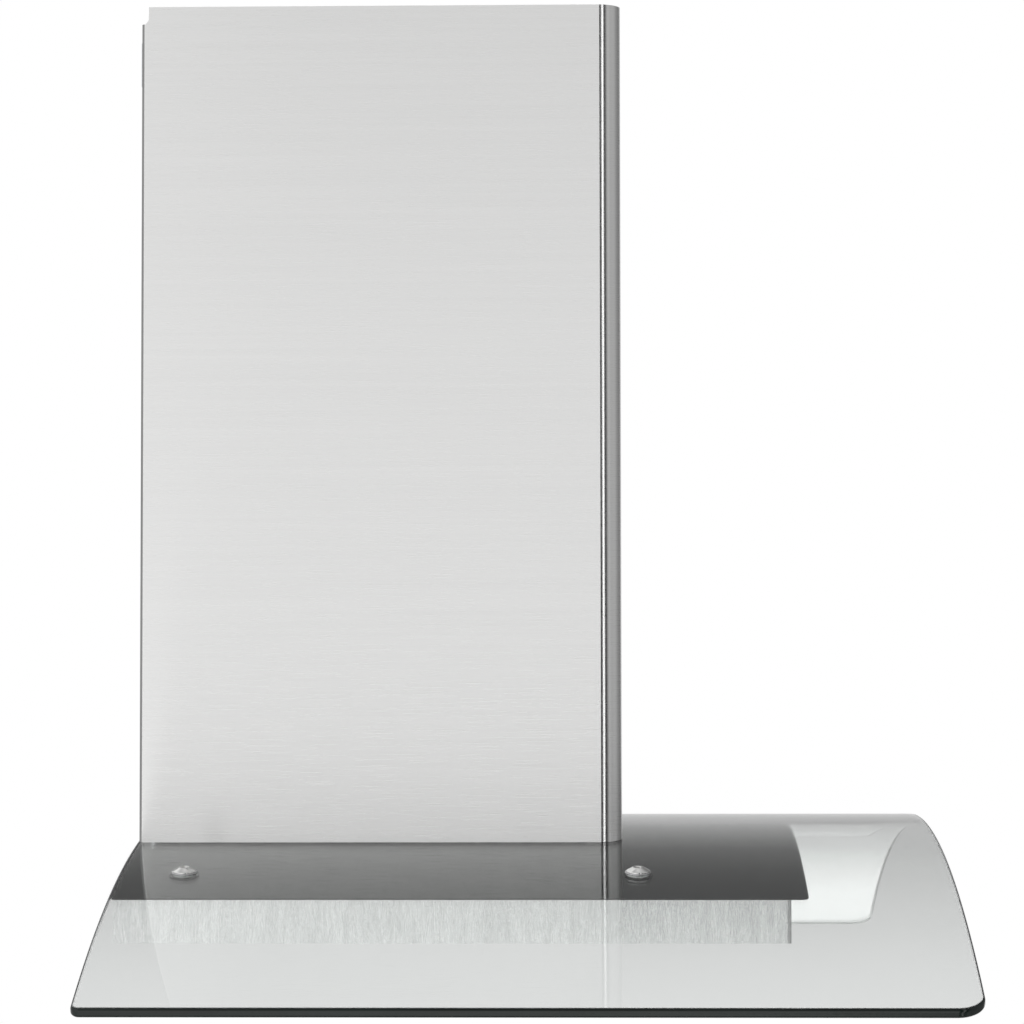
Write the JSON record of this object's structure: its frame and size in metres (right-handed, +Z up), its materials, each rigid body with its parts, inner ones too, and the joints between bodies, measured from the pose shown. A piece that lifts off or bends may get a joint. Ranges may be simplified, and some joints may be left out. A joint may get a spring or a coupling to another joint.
{
  "type": "wall-mounted chimney range hood",
  "caption": "Wall-mounted chimney range hood with an arched glass canopy, brushed steel body, telescopic chimney, tilting grease filters, push buttons and ducted blower.",
  "frame": {"origin": "centre of the four wall holes, on the wall plane", "axes": "+X along the wall, +Y into the wall (the room is at -Y), +Z up"},
  "size_m": [0.906, 0.501, 0.6108],
  "materials": {
    "chimney_steel": "brushed along the depth",
    "body_steel": "brushed upright",
    "galvanised_steel": "plain galvanised sheet",
    "clear_glass": "clear with polished dark green edges",
    "dark_plate": "high gloss, mirror-like",
    "black_rubber": "matte",
    "zinc_steel": "zinc plated",
    "chrome_cap": "polished",
    "grey_plastic": "moulded, fine grain",
    "wheel_metal": "moulded",
    "motor_metal": "cast end caps, painted",
    "white_plastic": "moulded",
    "black_plastic": "moulded, fine grain",
    "lamp_housing_metal": "pressed",
    "circuit_green": "solder resist",
    "frosted_lens": "frosted",
    "filter_aluminium": "rolled",
    "mesh_aluminium": "expanded mesh",
    "control_steel": "brushed",
    "button_metal": "satin chrome"
  },
  "bodies": {
    "hood": {"lower_chimney": "chimney_steel", "body_shell": "body_steel", "body_back": "body_steel", "bottom_panel": "body_steel", "mounting_plate": "galvanised_steel", "stand_off_rails": "galvanised_steel", "blower_box": "galvanised_steel", "blower_box_front": "galvanised_steel", "cross_member_rear": "galvanised_steel", "cross_member_front": "galvanised_steel", "filter_rail": "galvanised_steel", "filter_pivots": "galvanised_steel", "chimney_tabs": "galvanised_steel", "motor_bracket": "galvanised_steel", "glass_canopy": "clear_glass", "canopy_plate": "dark_plate", "glass_pads": "black_rubber", "glass_washers": "zinc_steel", "glass_screws": "zinc_steel", "body_screws": "zinc_steel", "blower_screws": "zinc_steel", "screw_caps": "chrome_cap", "lamp_ring_left": "chrome_cap", "lamp_ring_right": "chrome_cap", "scroll_left": "grey_plastic", "scroll_right": "grey_plastic", "inlet_ring_left": "grey_plastic", "inlet_ring_right": "grey_plastic", "outlet_collar": "grey_plastic", "motor": "motor_metal", "capacitor": "white_plastic", "control_box": "black_plastic", "control_box_cover": "black_plastic", "cable_gland": "black_plastic", "switch_block": "black_plastic", "lamp_housing_left": "lamp_housing_metal", "lamp_housing_right": "lamp_housing_metal", "circuit_board": "circuit_green", "lamp_lens_left": "frosted_lens", "lamp_lens_right": "frosted_lens", "button_bezel": "control_steel"},
    "upper_flue": {"upper_chimney": "chimney_steel", "chimney_bracket": "galvanised_steel", "bracket_screws": "zinc_steel"},
    "blower_wheel": {"impeller": "wheel_metal", "motor_shaft": "zinc_steel"},
    "flap_front": {"damper_flap_front": "grey_plastic"},
    "flap_rear": {"damper_flap_rear": "grey_plastic"},
    "filter_left": {"filter_frame_left": "filter_aluminium", "filter_mesh_left": "mesh_aluminium"},
    "filter_right": {"filter_frame_right": "filter_aluminium", "filter_mesh_right": "mesh_aluminium"},
    "latch_left": {"filter_latch_left": "black_plastic"},
    "latch_right": {"filter_latch_right": "black_plastic"},
    "off_key": {"button_off": "button_metal"},
    "speed_1_key": {"button_speed_1": "button_metal"},
    "speed_2_key": {"button_speed_2": "button_metal"},
    "speed_3_key": {"button_speed_3": "button_metal"},
    "light_key": {"button_light": "button_metal"}
  },
  "joints": [
    {"name": "upper_chimney_slide", "type": "slide", "parent": "hood", "child": "upper_flue", "axis": [0, 0, 1], "range_m": [0, 0.35]},
    {"name": "blower_spin", "type": "hinge", "parent": "hood", "child": "blower_wheel", "pos_m": [0, -0.118, -0.06], "axis": [1, 0, 0], "continuous": true},
    {"name": "flap_front_hinge", "type": "hinge", "parent": "hood", "child": "flap_front", "pos_m": [0, -0.186, 0.12], "axis": [-1, 0, 0], "range_deg": [0, 80]},
    {"name": "flap_rear_hinge", "type": "hinge", "parent": "hood", "child": "flap_rear", "pos_m": [0, -0.176, 0.12], "axis": [1, 0, 0], "range_deg": [0, 80]},
    {"name": "filter_left_hinge", "type": "hinge", "parent": "hood", "child": "filter_left", "pos_m": [-0.134, -0.033, -0.233], "axis": [1, 0, 0], "range_deg": [0, 75]},
    {"name": "latch_left_slide", "type": "slide", "parent": "filter_left", "child": "latch_left", "axis": [0, 1, 0], "range_m": [0, 0.007], "stiffness_N_per_m": 300},
    {"name": "filter_right_hinge", "type": "hinge", "parent": "hood", "child": "filter_right", "pos_m": [0.134, -0.033, -0.233], "axis": [1, 0, 0], "range_deg": [0, 75]},
    {"name": "latch_right_slide", "type": "slide", "parent": "filter_right", "child": "latch_right", "axis": [0, 1, 0], "range_m": [0, 0.007], "stiffness_N_per_m": 300},
    {"name": "off_push", "type": "slide", "parent": "hood", "child": "off_key", "axis": [0, 1, 0], "range_m": [0, 0.003], "stiffness_N_per_m": 400},
    {"name": "speed_1_push", "type": "slide", "parent": "hood", "child": "speed_1_key", "axis": [0, 1, 0], "range_m": [0, 0.003], "stiffness_N_per_m": 400},
    {"name": "speed_2_push", "type": "slide", "parent": "hood", "child": "speed_2_key", "axis": [0, 1, 0], "range_m": [0, 0.003], "stiffness_N_per_m": 400},
    {"name": "speed_3_push", "type": "slide", "parent": "hood", "child": "speed_3_key", "axis": [0, 1, 0], "range_m": [0, 0.003], "stiffness_N_per_m": 400},
    {"name": "light_push", "type": "slide", "parent": "hood", "child": "light_key", "axis": [0, 1, 0], "range_m": [0, 0.003], "stiffness_N_per_m": 400}
  ]
}
